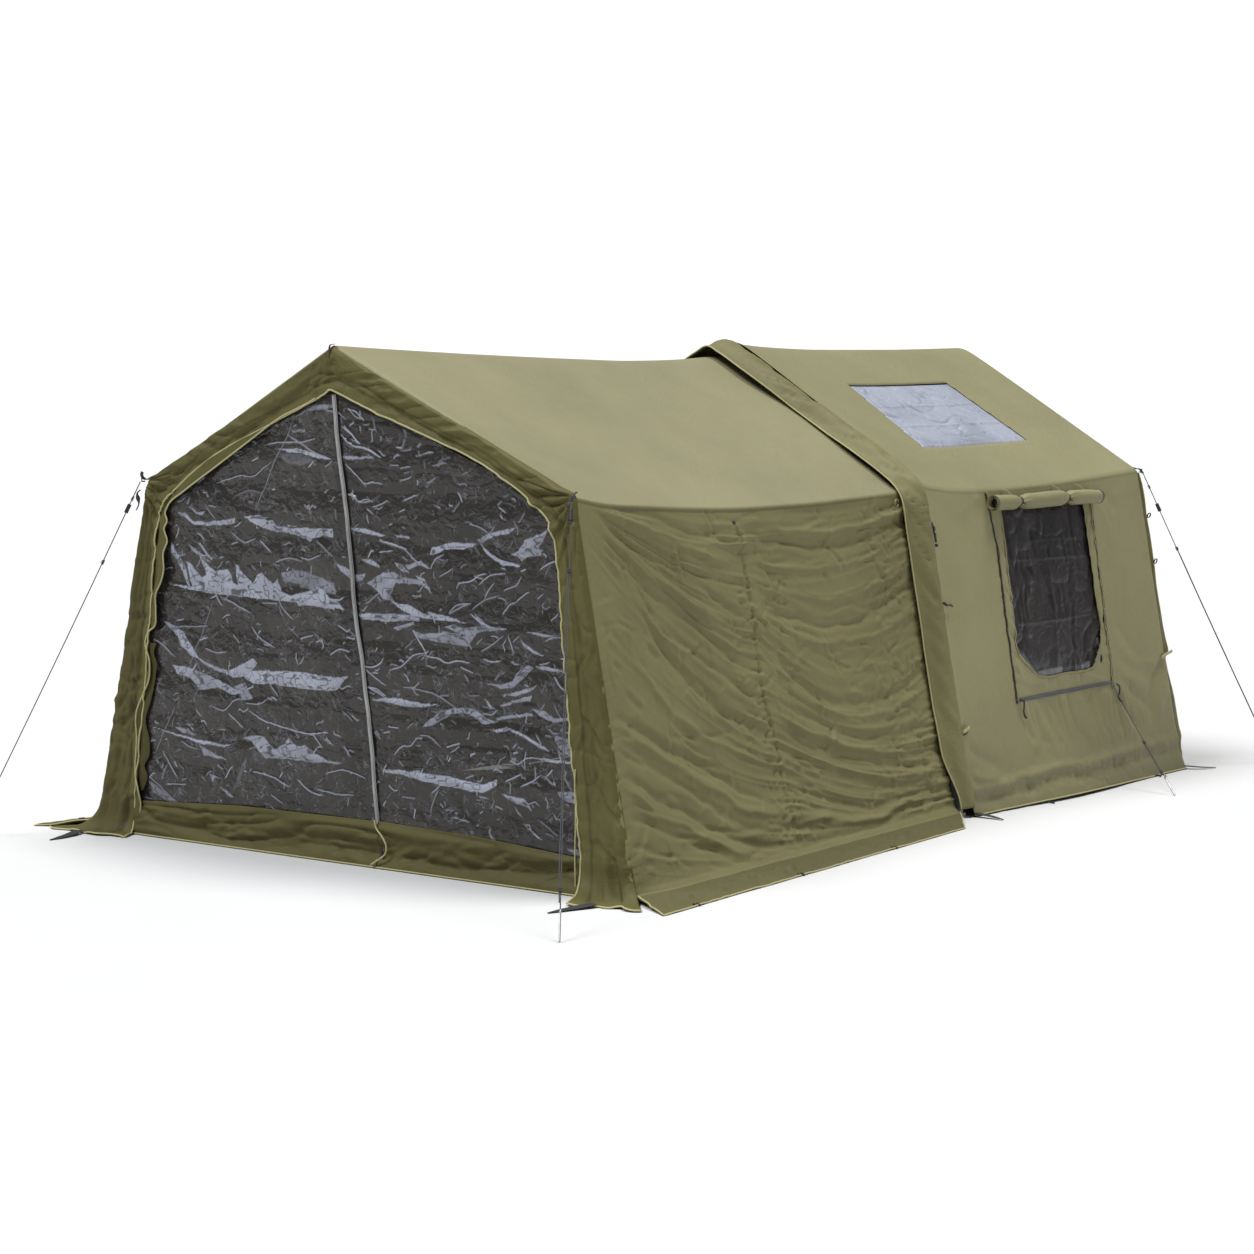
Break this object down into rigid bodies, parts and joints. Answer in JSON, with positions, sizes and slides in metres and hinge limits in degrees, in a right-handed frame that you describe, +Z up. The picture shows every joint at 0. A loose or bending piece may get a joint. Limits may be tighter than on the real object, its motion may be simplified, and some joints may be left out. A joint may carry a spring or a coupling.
{
  "type": "frame tent",
  "caption": "Frame tent: ridged main tent on tube arches with side windows and a skylight, and a front annex closed by a zipped two-leaf clear film door.",
  "frame": {"origin": "on the ground, at the middle of the tent's footprint, guy lines left out", "axes": "+Z up, -Y towards the door end, +Y along the ridge towards the rear, +X to the right seen from the door"},
  "size_m": [4.0214, 6.8104, 2.4],
  "materials": {
    "olive_cloth": "matte coated polycotton, olive",
    "olive_cloth_dark": "matte coated polycotton, darker olive on the front gable",
    "clear_film": "crinkled clear PVC film, glossy",
    "skylight_film": "crinkled frosted PVC film",
    "window_mesh": "dark mesh behind film",
    "alloy_tube": "satin",
    "coated_tube": "dark grey powder coat",
    "black_plastic": "moulded, matte",
    "grey_cap": "moulded, light grey",
    "guy_cord": "braided cord, dark grey",
    "peg_steel": "galvanised"
  },
  "bodies": {
    "tent": {"annex_roof_left": "olive_cloth", "annex_roof_right": "olive_cloth", "annex_wall_left": "olive_cloth", "annex_wall_right": "olive_cloth", "eave_hook_front_left": "black_plastic", "eave_hook_front_right": "black_plastic", "eave_hook_rear_right": "black_plastic", "front_foot_left": "black_plastic", "front_foot_right": "black_plastic", "front_leg_left": "alloy_tube", "front_leg_right": "alloy_tube", "front_rafter_left": "alloy_tube", "front_rafter_right": "alloy_tube", "front_ridge_elbow": "alloy_tube", "gable_border_left": "olive_cloth_dark", "gable_border_right": "olive_cloth_dark", "guy_front_left": "guy_cord", "guy_front_right": "guy_cord", "guy_rear_right": "guy_cord", "guy_side_right": "guy_cord", "joint_flap": "olive_cloth", "main_roof_left": "olive_cloth", "main_roof_right": "olive_cloth", "main_wall_left": "olive_cloth", "main_wall_right": "olive_cloth", "mid_foot_left": "grey_cap", "mid_foot_right": "grey_cap", "mid_leg_left": "coated_tube", "mid_leg_right": "coated_tube", "mid_rafter_left": "coated_tube", "mid_rafter_right": "coated_tube", "mid_ridge_elbow": "coated_tube", "peg_front_left": "peg_steel", "peg_front_right": "peg_steel", "peg_rear_right": "peg_steel", "peg_side_right": "peg_steel", "rear_foot_left": "grey_cap", "rear_foot_right": "grey_cap", "rear_leg_left": "coated_tube", "rear_leg_right": "coated_tube", "rear_rafter_left": "coated_tube", "rear_rafter_right": "coated_tube", "rear_ridge_elbow": "coated_tube", "rear_wall": "olive_cloth", "ridge_purlin": "coated_tube", "skylight": "skylight_film", "window_left": "window_mesh", "window_right": "window_mesh", "window_roll_left": "olive_cloth", "window_roll_right": "olive_cloth"},
    "door_left": {"door_leaf_left": "clear_film"},
    "door_right": {"door_leaf_right": "clear_film"},
    "door_slider": {"door_zip_slider": "black_plastic"},
    "window_slider_front_left": {"window_zip_slider_front_left": "black_plastic"},
    "window_slider_front_right": {"window_zip_slider_front_right": "black_plastic"},
    "window_slider_rear_left": {"window_zip_slider_rear_left": "black_plastic"},
    "window_slider_rear_right": {"window_zip_slider_rear_right": "black_plastic"},
    "guy_tensioner_front_left": {"tensioner_front_left": "black_plastic"},
    "guy_tensioner_front_right": {"tensioner_front_right": "black_plastic"},
    "guy_tensioner_rear_right": {"tensioner_rear_right": "black_plastic"}
  },
  "joints": [
    {"name": "door_right_hinge", "type": "hinge", "parent": "tent", "child": "door_right", "pos_m": [1.436, -2.66665, 0], "axis": [-0.1178, 0.0194, 0.9929], "range_deg": [0, 105]},
    {"name": "door_left_hinge", "type": "hinge", "parent": "tent", "child": "door_left", "pos_m": [-1.436, -2.66665, 0], "axis": [-0.1178, -0.0194, -0.9929], "range_deg": [0, 105]},
    {"name": "door_zip_slide", "type": "slide", "parent": "door_right", "child": "door_slider", "axis": [-0.1024, -0.0244, 0.9944], "range_m": [0, 2]},
    {"name": "window_zip_slide_front_left", "type": "slide", "parent": "tent", "child": "window_slider_front_left", "axis": [0.1888, 0.0314, 0.9815], "range_m": [0, 0.9]},
    {"name": "window_zip_slide_front_right", "type": "slide", "parent": "tent", "child": "window_slider_front_right", "axis": [-0.1888, 0.0314, 0.9815], "range_m": [0, 0.9]},
    {"name": "window_zip_slide_rear_left", "type": "slide", "parent": "tent", "child": "window_slider_rear_left", "axis": [0.1885, 0.0705, 0.9795], "range_m": [0, 0.9]},
    {"name": "window_zip_slide_rear_right", "type": "slide", "parent": "tent", "child": "window_slider_rear_right", "axis": [-0.1885, 0.0705, 0.9795], "range_m": [0, 0.9]},
    {"name": "tensioner_slide_front_left", "type": "slide", "parent": "tent", "child": "guy_tensioner_front_left", "axis": [0.2973, 0.311, 0.9027], "range_m": [-0.2, 0]},
    {"name": "tensioner_slide_front_right", "type": "slide", "parent": "tent", "child": "guy_tensioner_front_right", "axis": [-0.3198, 0.4264, 0.8461], "range_m": [-0.2, 0]},
    {"name": "tensioner_slide_rear_right", "type": "slide", "parent": "tent", "child": "guy_tensioner_rear_right", "axis": [-0.2949, -0.3143, 0.9023], "range_m": [-0.2, 0]}
  ]
}
